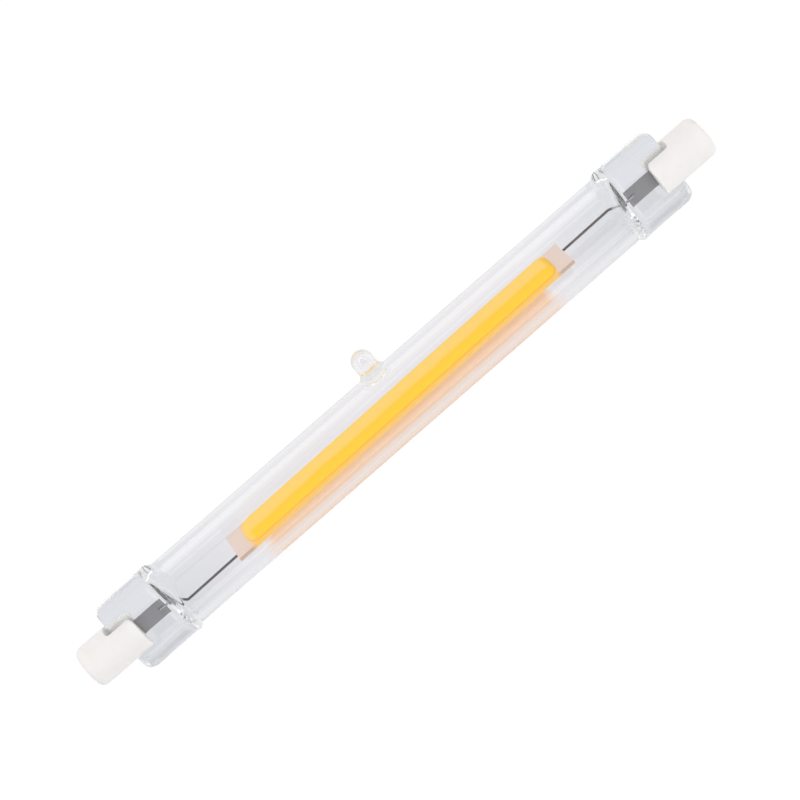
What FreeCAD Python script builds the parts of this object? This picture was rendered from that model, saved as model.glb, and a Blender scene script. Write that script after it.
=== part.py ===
"""Double-ended linear LED lamp with a clear glass tube.

The tube is drawn round, pressed flat at both ends over a thin foil, and sealed at a small tip at
mid length. A ceramic board with a silicone phosphor bead hangs inside on two leads, and a slotted
ceramic cap with a recessed contact is cemented over each pressed end.

The lamp is built about the tube's own axis with x along the tube, y across the flat of the pressed
ends and z square to that flat. It is then rolled about x until one edge of each pressed end meets
the surface that the tube lies on. The origin is on the tube's axis at mid length.
"""

import FreeCAD, Part

import math
import os

from FreeCAD import Vector

# End caps, in mm like every length here
overall_length = 118.0
cap_diameter = 6.7
cap_length = 9.8
cap_rim_radius = 1.1
cap_rim_bevels = 3
tongue_corner_radius = 1.3
slot_depth = 4.3
slot_floor_radius = 0.6
cement_thickness = 0.15
cement_width = 5.6
cement_setback = 0.4
contact_depth = 1.8
recess_diameter = 4.0
recess_cone_depth = 0.2
lead_bore_diameter = 1.6

# Contact buttons
button_diameter = 3.2
button_thickness = 0.8
button_edge_bevel = 0.2
button_clearance = 0.1
shank_diameter = 1.4
shank_length = 1.8
shank_hole_depth = 1.2

# Glass
tube_diameter = 11.2
tube_wall = 1.0
hollow_offset = 0.08
plate_width = 14.0
web_thickness = 2.2
bead_diameter = 2.6
plate_length = 8.5
plate_in_cap = 3.4
plate_corner_radius = 1.6
shoulder_length = 2.6
shoulder_flare = 1.6
side_roundness = 0.75
cavity_stop = 0.4
slit_width = 10.4
slit_height = 0.2
tip_offset = 0.2
tip_angle = -14.0
tip_diameter = 3.4
tip_height = 4.1
tip_weld_diameter = 5.2
tip_weld_height = 0.8
tip_bore_diameter = 1.6
tip_bore_end_diameter = 0.4
tip_end_wall = 1.3
shoulder_sections = 2

# Seals and leads
foil_length = 7.0
foil_width = 3.0
foil_thickness = 0.1
foil_setback = 0.1
outer_lead_diameter = 0.6
inner_lead_diameter = 0.4
lead_on_foil = 1.3
lead_kink_start = 0.3
lead_kink_length = 2.0
left_lead_height = 1.0
right_lead_height = -1.7

# Board, its bead and what the bead covers
board_end_gap = 11.6
board_bare_end = 2.6
board_width = 6.4
board_thickness = 0.6
board_drop = 0.3
board_shift = 0.4
board_skew = 0.8
strip_width = 5.6
strip_height = 1.0
strip_corner_radius = 1.5
strip_edge_radius = 0.75
die_length = 0.9
die_width = 0.5
die_thickness = 0.15
die_pitch = 2.1
die_end_margin = 4.0
die_row_gap = 2.2
rectifier_side = 1.6
rectifier_thickness = 0.3
regulator_length = 1.4
regulator_width = 1.0
regulator_thickness = 0.3
driver_margin = 0.8
driver_gap = 0.6
pad_width = 3.8
pad_thickness = 0.05
pad_margin = 0.3
via_diameter = 0.5
via_margin = 0.5
via_land = 0.3
lead_on_pad = 1.8
solder_under_lead = 0.06
solder_diameter = 1.8
solder_top_diameter = 0.7
solder_height = 0.55

# Steps along a shoulder at which its lowest point is looked for
roll_steps = 12

# Places along the axis that follow from the sizes above
half_length = overall_length / 2
cap_inner = half_length - cap_length
slot_floor = cap_inner + slot_depth
contact_face = half_length - contact_depth
recess_floor = contact_face + recess_cone_depth
button_seat = contact_face - button_thickness
plate_end = cap_inner + plate_in_cap
plate_start = plate_end - plate_length
tube_end = plate_start - shoulder_length
cavity_end = plate_start - cavity_stop
foil_inner = plate_start + foil_setback
foil_outer = foil_inner + foil_length
board_half = cavity_end - board_end_gap
strip_half = board_half - board_bare_end
via_place = strip_half - via_margin - via_diameter / 2
joint_place = board_half - lead_on_pad
die_span = 2 * (strip_half - die_end_margin) - die_length
die_columns = int(die_span / die_pitch) + 1

# Radii and heights that follow
tube_radius = tube_diameter / 2
bore_radius = tube_radius - tube_wall
bead_radius = bead_diameter / 2
recess_radius = recess_diameter / 2
seat_radius = button_diameter / 2 + button_clearance
plate_half = plate_width / 2
cap_radius = cap_diameter / 2
slot_width = web_thickness + 2 * cement_thickness
outer_lead_radius = outer_lead_diameter / 2
inner_lead_radius = inner_lead_diameter / 2
foil_top = -outer_lead_radius
board_face = board_thickness / 2
board_back = -board_thickness / 2
pad_back = board_back - pad_thickness

AXIS = Vector(1, 0, 0)
CENTRE = Vector(0, 0, 0)


def block(x, y, z):
    """A box between three pairs of limits."""
    return Part.makeBox(x[1] - x[0], y[1] - y[0], z[1] - z[0], Vector(x[0], y[0], z[0]))


def rod(radius, x0, x1, y=0.0, z=0.0):
    """A cylinder along x."""
    return Part.makeCylinder(radius, x1 - x0, Vector(x0, y, z), AXIS)


def mirrored(shape):
    """The same piece at the other end of the lamp."""
    return shape.mirror(CENTRE, AXIS)


def wire_of(points):
    """A closed wire of straight edges."""
    return Part.makePolygon(points + [points[0]])


def rounded_end_outline(x0, x1, half, radius, at, swap=False):
    """A rectangle whose two corners at x1 are rounded, ready to be drawn out along its third axis.

    It lies in the x and y plane at height z = at, or, with swap, in the x and z plane at y = at.
    """
    def p(x, across):
        return Vector(x, at, across) if swap else Vector(x, across, at)

    turn = 1 if x1 > x0 else -1
    inner = x1 - turn * radius
    mid = radius * (1 - math.sqrt(0.5))
    edges = [
        Part.LineSegment(p(x0, -half), p(inner, -half)).toShape(),
        Part.Arc(
            p(inner, -half), p(x1 - turn * mid, -half + mid), p(x1, -half + radius)
        ).toShape(),
        Part.LineSegment(p(x1, -half + radius), p(x1, half - radius)).toShape(),
        Part.Arc(p(x1, half - radius), p(x1 - turn * mid, half - mid), p(inner, half)).toShape(),
        Part.LineSegment(p(inner, half), p(x0, half)).toShape(),
        Part.LineSegment(p(x0, half), p(x0, -half)).toShape(),
    ]
    return Part.Face(Part.Wire(edges))


def arc_edge(x, centre, radius, start, end):
    """An arc in the plane at x about centre (y, z), between two angles in degrees."""
    points = []
    for angle in (start, (start + end) / 2, end):
        turn = math.radians(angle)
        y = centre[0] + radius * math.cos(turn)
        z = centre[1] + radius * math.sin(turn)
        points.append(Vector(x, y, z))
    return Part.Arc(*points).toShape()


def circle_section(x, radius):
    """A circle cut in four arcs, so that its corners meet those of the flatter sections."""
    return Part.Wire(
        [arc_edge(x, (0, 0), radius, start, start + 90) for start in (-45, 45, 135, 225)]
    )


def oval_section(x, half_width, half_height, roundness):
    """Four arcs that meet smoothly, with side arcs of roundness times the half height."""
    side = roundness * half_height
    reach = half_width - side
    broad = (reach**2 + half_height**2 - side**2) / (2 * (half_height - side))
    drop = broad - half_height
    meet = math.degrees(math.atan2(drop, reach))
    return Part.Wire(
        [
            arc_edge(x, (reach, 0), side, -meet, meet),
            arc_edge(x, (0, -drop), broad, meet, 180 - meet),
            arc_edge(x, (-reach, 0), side, 180 - meet, 180 + meet),
            arc_edge(x, (0, drop), broad, 180 + meet, 360 - meet),
        ]
    )


def flat_section(x, half_width, half_height):
    """Two straight sides closed by half circles."""
    reach = half_width - half_height
    corners = [
        Vector(x, reach, half_height),
        Vector(x, -reach, half_height),
        Vector(x, -reach, -half_height),
        Vector(x, reach, -half_height),
    ]
    return Part.Wire(
        [
            arc_edge(x, (reach, 0), half_height, -90, 90),
            Part.LineSegment(corners[0], corners[1]).toShape(),
            arc_edge(x, (-reach, 0), half_height, 90, 270),
            Part.LineSegment(corners[2], corners[3]).toShape(),
        ]
    )


def eased(share):
    """Nought to one with a level start and end."""
    share = max(0.0, min(1.0, share))
    return share * share * (3 - 2 * share)


def flattened_size(share, radius, half_width, half_height):
    """Half width and half height a share of the way from the circle to the flat oval."""
    wide = radius + (half_width - radius) * eased(shoulder_flare * share)
    high = radius - (radius - half_height) * eased(share)
    return wide, high


def flattening(x0, x1, radius, half_width, half_height, ruled=False):
    """A solid that runs from a circle at x0 to a flat oval at x1, widening before it flattens."""
    sections = [circle_section(x0, radius)]
    for step in range(1, shoulder_sections + 1):
        share = step / (shoulder_sections + 1)
        wide, high = flattened_size(share, radius, half_width, half_height)
        sections.append(oval_section(x0 + (x1 - x0) * share, wide, high, side_roundness))
    sections.append(flat_section(x1, half_width, half_height))
    return Part.makeLoft(sections, True, ruled)


def kinked_rod(points, radius):
    """A round wire through points, creased at each corner."""
    first = (points[1] - points[0]).normalize()
    section = Part.Wire(Part.makeCircle(radius, points[0], first))
    path = Part.Wire(Part.makePolygon(points).Edges)
    right_corner = 1
    return path.makePipeShell([section], True, False, right_corner)


def on_board(shape):
    """Put a piece modelled on a level, centred board where the board hangs in the tube."""
    placed = shape.copy()
    placed.rotate(CENTRE, Vector(0, 0, 1), board_skew)
    placed.translate(Vector(board_shift, -board_drop, 0))
    return placed


def point_on_board(x, y, z):
    """The same move for one point."""
    return on_board(Part.Vertex(x, y, z)).Point


def pressed_plate():
    """The flat pressed end at +x: a web with a round bead down each side."""
    reach = plate_half - bead_radius
    plate = block((plate_start, plate_end), (-reach, reach), (-web_thickness / 2, web_thickness / 2))
    for side in (-1, 1):
        plate = plate.fuse(rod(bead_radius, plate_start, plate_end, side * reach))
    outline = rounded_end_outline(
        plate_start, plate_end, plate_half, plate_corner_radius, -bead_radius
    )
    return plate.common(outline.extrude(Vector(0, 0, bead_diameter)))


def exhaust_tip():
    """The sealed stub at mid length, and the bore that runs into it, both about the tip's axis."""
    radius = tip_diameter / 2
    dome_centre = tube_radius + tip_height - radius
    stub = Part.makeCylinder(radius, dome_centre)
    dome = Part.makeSphere(radius, Vector(0, 0, dome_centre))
    weld = Part.makeCone(
        tip_weld_diameter / 2,
        radius,
        2 * tip_weld_height,
        Vector(0, 0, tube_radius - tip_weld_height),
    )
    stub = stub.fuse([dome, weld])
    bore_radius_here = tip_bore_diameter / 2
    cone_end = tube_radius + tip_height - tip_end_wall
    straight = cone_end - tip_bore_diameter
    start = bore_radius / 2
    bore = Part.makeCylinder(bore_radius_here, straight - start, Vector(0, 0, start))
    cone = Part.makeCone(
        bore_radius_here,
        tip_bore_end_diameter / 2,
        tip_bore_diameter,
        Vector(0, 0, straight),
    )
    return [point_tip(shape) for shape in (stub, bore.fuse(cone))]


def point_tip(shape):
    """Turn a piece modelled about z to stand out of the tube in the tip's direction."""
    shape.rotate(CENTRE, AXIS, tip_angle - 90)
    shape.translate(Vector(tip_offset, 0, 0))
    return shape


def glass_envelope(held):
    """The drawn tube with its pressed ends and tip, hollow inside, moulded round what it holds.

    The hollow sits a little off the tube's axis. The thicker wall is the side that the lamp lies on.
    """
    stub, stub_bore = exhaust_tip()
    tube = rod(tube_radius, -tube_end, tube_end).fuse(stub)
    shoulder = flattening(tube_end, plate_start, tube_radius, plate_half, bead_radius)
    hollow = rod(bore_radius, -tube_end, tube_end)
    hollow_end = flattening(
        tube_end, cavity_end, bore_radius, slit_width / 2, slit_height / 2, ruled=True
    )
    end = shoulder.fuse(pressed_plate())
    body = tube.fuse([end, mirrored(end)])
    space = hollow.fuse([hollow_end, mirrored(hollow_end)])
    space.translate(Vector(0, hollow_offset, 0))
    return body.cut([space, stub_bore]).cut(held).removeSplitter()


def bevelled_cylinder():
    """The cap's outside, with its outer rim turned in a few bevels that follow a quarter circle."""
    profile = [Vector(cap_inner, 0, 0), Vector(cap_inner, cap_radius, 0)]
    for step in range(cap_rim_bevels + 1):
        turn = math.radians(90 * step / cap_rim_bevels)
        x = half_length - cap_rim_radius * (1 - math.sin(turn))
        y = cap_radius - cap_rim_radius * (1 - math.cos(turn))
        profile.append(Vector(x, y, 0))
    profile.append(Vector(half_length, 0, 0))
    return Part.Face(wire_of(profile)).revolve(CENTRE, AXIS, 360)


def ceramic_cap():
    """The slotted cap at +x with its stepped contact recess and the bore for the lead."""
    outside = bevelled_cylinder()
    tongues = rounded_end_outline(
        half_length, cap_inner, cap_radius, tongue_corner_radius, -cap_radius
    )
    outside = outside.common(tongues.extrude(Vector(0, 0, cap_diameter)))
    slot = rounded_end_outline(
        cap_inner - 1, slot_floor, slot_width / 2, slot_floor_radius, -cap_radius, swap=True
    )
    recess = rod(recess_radius, recess_floor, half_length)
    cone = Part.makeCone(
        seat_radius, recess_radius, recess_cone_depth, Vector(contact_face, 0, 0), AXIS
    )
    seat = rod(seat_radius, button_seat, contact_face)
    bore = rod(lead_bore_diameter / 2, slot_floor - slot_floor_radius, button_seat)
    return outside.cut([slot.extrude(Vector(0, cap_diameter, 0)), recess.fuse([cone, seat]), bore])


def contact_button():
    """The metal contact at +x, with a hollow shank that takes the end of the outer lead."""
    radius = button_diameter / 2
    bevel_start = contact_face - button_edge_bevel
    head = rod(radius, button_seat, bevel_start)
    face = Part.makeCone(
        radius, radius - button_edge_bevel, button_edge_bevel, Vector(bevel_start, 0, 0), AXIS
    )
    head = head.fuse(face)
    shank_start = button_seat - shank_length
    button = head.fuse(rod(shank_diameter / 2, shank_start, button_seat))
    return button.cut(rod(outer_lead_radius, shank_start, shank_start + shank_hole_depth))


def cap_cement():
    """The two beds of cement between the cap's tongues and the glass web at +x."""
    x = (cap_inner + cement_setback, plate_end)
    y = (-cement_width / 2, cement_width / 2)
    inner = web_thickness / 2
    upper = block(x, y, (inner, inner + cement_thickness))
    lower = block(x, y, (-inner - cement_thickness, -inner))
    return Part.makeCompound([upper, lower])


def seal_foil():
    """The flat foil that carries the current through the glass at +x."""
    half = foil_width / 2
    return block((foil_inner, foil_outer), (-half, half), (foil_top - foil_thickness, foil_top))


def outer_lead():
    """The straight lead from the foil at +x to the contact's shank."""
    end = button_seat - shank_length + shank_hole_depth
    return rod(outer_lead_radius, foil_outer - lead_on_foil, end)


def inner_lead(side, height):
    """The lead from the foil at one end to the pad behind the board; side is -1 or 1."""
    on_foil = foil_top + inner_lead_radius
    behind = pad_back - solder_under_lead - inner_lead_radius
    kink_start = cavity_end - lead_kink_start
    kink_end = kink_start - lead_kink_length
    points = [
        Vector(side * (foil_inner + lead_on_foil), 0, on_foil),
        Vector(side * kink_start, 0, on_foil),
        point_on_board(side * kink_end - board_shift, behind, height),
        point_on_board(side * joint_place, behind, height),
    ]
    return kinked_rod(points, inner_lead_radius)


def terminal_pad(side, height):
    """A fired metal pad on the board's back, with the via that reaches its face."""
    outer = board_half - pad_margin
    inner = via_place - via_diameter / 2 - via_land
    x = sorted((side * outer, side * inner))
    z = (height - pad_width / 2, height + pad_width / 2)
    low = max(z[0], pad_margin - board_width / 2)
    high = min(z[1], board_width / 2 - pad_margin)
    pad = block(x, (pad_back, board_back), (low, high))
    return on_board(pad.fuse(via(side, height)))


def via(side, height):
    """The metal plug through the board, where the bead hides its end."""
    base = Vector(side * via_place, board_back, height)
    return Part.makeCylinder(via_diameter / 2, board_thickness, base, Vector(0, 1, 0))


def solder_joint(side, height, lead):
    """A cone of solder on the pad, over the end of the lead."""
    base = Vector(side * joint_place, pad_back, height)
    cone = Part.makeCone(
        solder_diameter / 2, solder_top_diameter / 2, solder_height, base, Vector(0, -1, 0)
    )
    return on_board(cone).cut(lead)


def ceramic_board():
    """The plain ceramic plate, with its two via holes."""
    x = (-board_half, board_half)
    z = (-board_width / 2, board_width / 2)
    plate = block(x, (board_back, board_face), z)
    return on_board(plate.cut([via(-1, left_lead_height), via(1, right_lead_height)]))


def led_dies():
    """Two rows of light-emitting dies in series, bonded to the board's face."""
    dies = []
    for column in range(die_columns):
        x = (column - (die_columns - 1) / 2) * die_pitch
        for z in (-die_row_gap / 2, die_row_gap / 2):
            along = (x - die_length / 2, x + die_length / 2)
            across = (z - die_width / 2, z + die_width / 2)
            dies.append(block(along, (board_face, board_face + die_thickness), across))
    return on_board(Part.makeCompound(dies))


def bridge_rectifier():
    """The rectifier die at the bead's -x end."""
    start = driver_margin - strip_half
    half = rectifier_side / 2
    x = (start, start + rectifier_side)
    return on_board(block(x, (board_face, board_face + rectifier_thickness), (-half, half)))


def current_regulators():
    """The two regulator dies side by side at the bead's +x end."""
    end = strip_half - driver_margin
    dies = []
    for side in (-1, 1):
        inner = side * driver_gap / 2
        z = sorted((inner, inner + side * regulator_width))
        x = (end - regulator_length, end)
        dies.append(block(x, (board_face, board_face + regulator_thickness), z))
    return on_board(Part.makeCompound(dies))


def phosphor_strip(covered):
    """The silicone bead over the dies, with rounded corners and shoulders."""
    half = strip_width / 2
    right = rounded_end_outline(
        0, strip_half, half, strip_corner_radius, board_face, swap=True
    )
    raised = right.extrude(Vector(0, strip_height, 0))
    bead = raised.fuse(mirrored(raised)).removeSplitter()
    top = board_face + strip_height
    edges = [e for e in bead.Edges if all(abs(v.Y - top) < 1e-6 for v in e.Vertexes)]
    bead = bead.makeFillet(strip_edge_radius, edges)
    return on_board(bead).cut(covered)


def lamp_pieces():
    """Every piece of the lamp by name, about the tube's own axis."""
    pieces = {}
    ends = (("left", -1, left_lead_height), ("right", 1, right_lead_height))
    for name, side, height in ends:
        paired = {
            "ceramic_cap": ceramic_cap(),
            "cap_cement": cap_cement(),
            "contact_button": contact_button(),
            "outer_lead": outer_lead(),
            "seal_foil": seal_foil(),
        }
        for kind, shape in paired.items():
            pieces[f"{kind}_{name}"] = mirrored(shape) if side < 0 else shape
        lead = inner_lead(side, height)
        pieces[f"inner_lead_{name}"] = lead
        pieces[f"terminal_pad_{name}"] = terminal_pad(side, height)
        pieces[f"solder_joint_{name}"] = solder_joint(side, height, lead)
    pieces["ceramic_board"] = ceramic_board()
    pieces["led_dies"] = led_dies()
    pieces["bridge_rectifier"] = bridge_rectifier()
    pieces["current_regulators"] = current_regulators()
    covered = [pieces[name] for name in ("led_dies", "bridge_rectifier", "current_regulators")]
    pieces["phosphor_strip"] = phosphor_strip(covered)
    sealed_in = ("seal_foil", "outer_lead", "inner_lead")
    held = [pieces[name] for name in pieces if name.startswith(sealed_in)]
    pieces["glass_envelope"] = glass_envelope(held)
    return pieces


def resting_roll():
    """How far the lamp rolls until its shoulders or pressed ends meet the floor, in degrees.

    A section with side arcs of radius side, centred at reach from the axis, goes down to
    reach times the sine of the roll, plus side, below the axis.
    """
    sides = [(plate_half - bead_radius, bead_radius)]
    for step in range(1, roll_steps):
        wide, high = flattened_size(step / roll_steps, tube_radius, plate_half, bead_radius)
        side = side_roundness * high
        sides.append((wide - side, side))
    sines = [(tube_radius - side) / reach for reach, side in sides]
    return math.degrees(math.asin(min(sines + [1.0])))


def main():
    os.makedirs("parts", exist_ok=True)
    roll = resting_roll()
    for name, shape in lamp_pieces().items():
        shape.rotate(CENTRE, AXIS, roll)
        shape.exportStep(f"parts/{name}.step")
        print(name, len(shape.Solids), shape.isValid(), round(shape.Volume, 3))
    print("roll", round(roll, 2))


main()
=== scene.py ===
"""The looks of a double-ended linear LED lamp: glass, ceramic, phosphor bead, leads and seals."""

import contextlib
import math

import bmesh
import bpy
from bpy.props import FloatProperty, FloatVectorProperty, IntProperty, PointerProperty
from mathutils import Matrix, Vector


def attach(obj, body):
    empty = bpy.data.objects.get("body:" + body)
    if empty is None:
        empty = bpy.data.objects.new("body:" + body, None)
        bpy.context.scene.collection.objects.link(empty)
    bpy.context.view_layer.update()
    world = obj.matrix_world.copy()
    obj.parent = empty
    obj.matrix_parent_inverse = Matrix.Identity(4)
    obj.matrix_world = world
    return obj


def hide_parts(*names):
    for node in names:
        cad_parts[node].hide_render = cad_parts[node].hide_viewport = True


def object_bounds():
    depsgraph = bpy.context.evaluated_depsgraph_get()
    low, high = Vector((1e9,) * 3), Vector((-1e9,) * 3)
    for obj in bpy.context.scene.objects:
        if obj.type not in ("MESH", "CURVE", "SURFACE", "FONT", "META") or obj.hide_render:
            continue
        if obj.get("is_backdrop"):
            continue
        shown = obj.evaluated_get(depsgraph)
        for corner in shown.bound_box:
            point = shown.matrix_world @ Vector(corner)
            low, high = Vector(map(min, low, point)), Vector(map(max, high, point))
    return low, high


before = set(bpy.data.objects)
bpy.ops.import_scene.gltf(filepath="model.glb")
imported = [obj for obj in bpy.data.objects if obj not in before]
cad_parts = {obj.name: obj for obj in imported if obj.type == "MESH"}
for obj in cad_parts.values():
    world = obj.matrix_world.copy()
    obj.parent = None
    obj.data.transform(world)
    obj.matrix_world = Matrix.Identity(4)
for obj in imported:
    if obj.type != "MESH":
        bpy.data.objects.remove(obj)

bl_info = {
    "name": "Linear LED lamp",
    "version": (1, 0, 0),
    "blender": (4, 5, 0),
    "location": "3D View > Sidebar > Lamp",
    "description": "Dresses a double-ended linear LED lamp and sets it on a white table",
    "category": "Object",
}

CAD_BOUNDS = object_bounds()
MM = 0.001
SIDES = {"left": -1, "right": 1}
BODY = "root"
WHITE = (1.0, 1.0, 1.0, 1.0)
# How far the lamp rolled about its tube before it lay at rest
ROLL = math.radians(44.912)


def linear(colour):
    """An sRGB colour such as #E6C8BE as linear red, green, blue and full opacity."""
    channels = []
    for start in (1, 3, 5):
        level = int(colour[start : start + 2], 16) / 255
        low = level / 12.92
        high = ((level + 0.055) / 1.055) ** 2.4
        channels.append(low if level <= 0.04045 else high)
    return (*channels, 1.0)


# Settings


def length(name, description, millimetres):
    """A size that a user can change, in millimetres."""
    return FloatProperty(
        name=name, description=description, default=millimetres * MM, unit="LENGTH", precision=5
    )


def degrees(name, description, angle):
    """An angle that a user can change."""
    return FloatProperty(
        name=name, description=description, default=math.radians(angle), subtype="ANGLE"
    )


def tint(name, description, colour):
    """A colour that a user can change, given as sRGB hex."""
    return FloatVectorProperty(
        name=name, description=description, default=linear(colour), size=4, subtype="COLOR"
    )


def share(name, description, value):
    """A plain number from nought to one."""
    return FloatProperty(name=name, description=description, default=value, min=0.0, max=1.0)


class GlassSizes(bpy.types.PropertyGroup):
    """Sizes of the glass envelope, which repeat those of the solid model."""

    radius: length("Tube radius", "Outside radius of the tube", 5.6)
    wall: length("Wall", "Thickness of the tube's wall", 1.0)
    waviness: length("Waviness", "How far the drawn tube's radius wanders", 0.012)
    tube_end: length("Tube end", "Where the round tube ends, from the middle", 41.5)
    plate_start: length("Plate start", "Where the pressed plate begins", 44.1)
    plate_end: length("Plate end", "Where the pressed plate ends, inside the cap", 52.6)
    plate_half: length("Plate half width", "Half the pressed plate's width", 7.0)
    plate_corner: length("Plate corner", "Radius of the plate's outer corners", 1.6)
    bead_radius: length("Side bead radius", "Radius of the round sides of the plate", 1.3)
    web_half: length("Web half thickness", "Half the thickness between the side beads", 1.1)
    tip_place: length("Tip place", "Where the exhaust tip stands along the tube", 0.2)
    tip_angle: degrees("Tip angle", "Direction of the tip from the plate's plane", -14.0)
    tip_radius: length("Tip radius", "Radius of the exhaust tip", 1.7)
    tip_height: length("Tip height", "How far the tip stands out of the tube", 4.1)
    tip_foot: length("Tip foot", "Radius at which the tip's foot meets the tube", 2.9)
    tip_bore: length("Tip bore", "Radius of the bore in the tip", 0.8)
    tip_end_wall: length("Tip end wall", "Glass left at the tip's closed end", 1.3)


class BeadSizes(bpy.types.PropertyGroup):
    """Sizes of the phosphor bead."""

    half_length: length("Half length", "Half the bead's length", 29.5)
    half_width: length("Half width", "Half the bead's width", 2.8)
    height: length("Height", "Height of the bead over the board", 1.0)
    shoulder: length("Shoulder", "How far in from its sides the bead's top falls away", 1.5)
    corner_left: length("Left corners", "Corner radius at the left end", 1.9)
    corner_right: length("Right corners", "Corner radius at the right end", 1.4)


class LeadSizes(bpy.types.PropertyGroup):
    """Sizes of the leads, the solder and the welds."""

    radius: length("Lead radius", "Radius of the thin leads", 0.2)
    bend: length("Bend radius", "Radius of the kinks in the leads", 0.5)
    solder_radius: length("Solder radius", "Radius of the solder joint on the pad", 0.9)
    solder_height: length("Solder height", "Height of the solder joint", 0.55)
    weld_radius: length("Weld radius", "Radius of a spot weld on the foil", 0.22)


class CapSizes(bpy.types.PropertyGroup):
    """How the pressed ceramic caps are softened."""

    grain: length("Grain", "Size of the faces that the caps are rebuilt from", 0.09)
    rounds: IntProperty(name="Rounds", description="Passes that soften the edges", default=7)


class Colours(bpy.types.PropertyGroup):
    """Colours of the finishes, as they look in plain light."""

    glass: tint("Glass", "Clear tube glass", "#FDFDFD")
    glass_thin: tint("Glass, thin", "Light that passes straight through the wall", "#FDFEFE")
    # Painted glow: the grey that thick glass shines with where a ray has turned in it many times
    glass_painted_glow: tint("Glass, deep", "Light spread inside thick glass", "#E4E6E5")
    ceramic: tint("Cap ceramic", "White fired ceramic", "#F3F1F0")
    ceramic_warm: tint("Cap ceramic, warm", "The ceramic's warmer patches", "#EFEBE8")
    cement: tint("Cement", "Dried cement", "#F9F7F4")
    board: tint("Board", "Pale pink alumina", "#F6E0D5")
    board_dark: tint("Board, darker", "The alumina's darker grains", "#E6CABC")
    board_cut: tint("Board, cut sides", "The alumina's laser-cut sides", "#D2AE98")
    # The peach in the board under the bead is a painted glow, in its colour and as emission
    board_painted_glow: tint("Board under the bead", "Alumina with the bead's light in it", "#EFBD55")
    board_painted_light: tint("Light in the board", "The light that the bead sends into it", "#F6B840")
    # The bead's pale top is painted light and its deep yellow side is painted shade, both put in its
    # colour
    phosphor: tint("Phosphor", "Phosphor-filled silicone on top of the bead", "#FCCE60")
    phosphor_painted_shade: tint("Phosphor, deep", "The silicone down the bead's side", "#FBC608")
    wire: tint("Lead", "Oxidised lead wire", "#847D79")
    wire_dark: tint("Lead, darker", "The wire where the oxide is thick", "#57504C")
    wire_clean: tint("Lead, clean", "The wire near the seal, which stayed bright", "#C8CACE")
    foil: tint("Foil", "Rolled seal foil", "#A1A2A4")
    foil_light: tint("Foil, worn", "The foil where the rolls polished it", "#BDBDBE")
    solder: tint("Solder", "Tin solder", "#BDBDBB")
    solder_dark: tint("Solder, darker", "The solder's hollows", "#A9A9A6")
    pad: tint("Pad", "Fired silver film", "#C9C7C1")
    pad_dark: tint("Pad, darker", "The film where it tarnished", "#B4B1A8")
    contact: tint("Contact", "Nickel plating on brass", "#C9C4B8")
    contact_dark: tint("Contact, darker", "The plating where it is thin", "#B5AE9E")
    die: tint("Die", "Chip under the bead", "#5F6F93")
    die_grid: tint("Die, grid", "The chip's metal grid", "#8795B4")


class StageSizes(bpy.types.PropertyGroup):
    """The table, the light and the camera."""

    elevation: degrees("Elevation", "Camera's height above the horizon", 78.0)
    turn: degrees("Turn", "How far the lamp is turned in the picture", 41.15)
    distance: length("Distance", "Camera's distance from the lamp", 400.0)
    picture_width: length("Picture width", "Width of the picture at the lamp", 115.5)
    table_white: share("Table white", "Brightness of the table under the lamp", 0.88)
    table_gloss: share("Table gloss", "How much the table mirrors under the glass", 0.12)
    backdrop: tint("Backdrop", "What the glass shows of the table and the room", "#ECEAEE")
    # Painted shade on the table near the caps, darker on the near side, which the glass shows
    backdrop_end_painted_shade: tint("Backdrop, ends", "The same near the caps", "#DDE0E5")
    backdrop_front_painted_shade: tint("Backdrop, front", "The same near the caps, on the near side", "#D5D8DD")
    backdrop_rim: tint("Backdrop, rim", "The table in front of the lamp", "#ECECEF")
    # Painted highlight: a paler strip on the table behind the lamp, which the glass shows as a bright
    # streak
    backdrop_back_painted_highlight: tint("Backdrop, back", "The table behind the lamp", "#F4F4F6")
    # A painted pool of the bead's warm light on the table, and a fainter one beside it, seen through
    # the glass
    painted_warm_glow: tint("Glow", "The table where the bead's warm light falls", "#F5C18E")
    painted_faint_glow: tint("Faint glow", "The table beside that light", "#F1E2D9")
    sky: share("Sky", "Brightness of the surroundings", 0.72)


# Helpers for meshes


def props(name):
    """One of the groups of settings, on the scene."""
    return getattr(bpy.context.scene, "lamp_" + name)


def new_mesh(name, points, faces=(), edges=()):
    """A mesh from its points, faces and loose edges."""
    mesh = bpy.data.meshes.new(name)
    mesh.from_pydata([tuple(point) for point in points], edges, faces)
    return mesh


def place_in_scene(name, data):
    """A new object in the scene that holds a mesh, a lamp or a camera."""
    thing = bpy.data.objects.new(name, data)
    bpy.context.scene.collection.objects.link(thing)
    return thing


def paint(thing, material):
    """Give the whole piece one material."""
    thing.data.materials.clear()
    thing.data.materials.append(material)


def finish_piece(name, mesh, material, replaced=()):
    """Put a finished mesh in the scene as a piece of the lamp."""
    piece = place_in_scene(name, mesh)
    paint(piece, material)
    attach(piece, BODY)
    if replaced:
        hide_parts(*replaced)
    return piece


def evaluated_mesh(thing, name):
    """The plain mesh that an object's modifiers make, after which the object is removed."""
    graph = bpy.context.evaluated_depsgraph_get()
    mesh = bpy.data.meshes.new_from_object(thing.evaluated_get(graph))
    mesh.name = name
    bpy.data.objects.remove(thing)
    return mesh


@contextlib.contextmanager
def opened(mesh):
    """A mesh opened for editing, and written back afterwards."""
    work = bmesh.new()
    work.from_mesh(mesh)
    yield work
    work.to_mesh(mesh)
    work.free()


def closed_mesh(vertices, faces):
    """A smooth closed mesh from points that may meet along its rim."""
    mesh = new_mesh("plain", vertices, faces)
    with opened(mesh) as work:
        bmesh.ops.remove_doubles(work, verts=work.verts, dist=1e-7)
        bmesh.ops.dissolve_degenerate(work, dist=1e-8, edges=work.edges)
        bmesh.ops.recalc_face_normals(work, faces=work.faces)
    mesh.shade_smooth()
    return mesh


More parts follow.
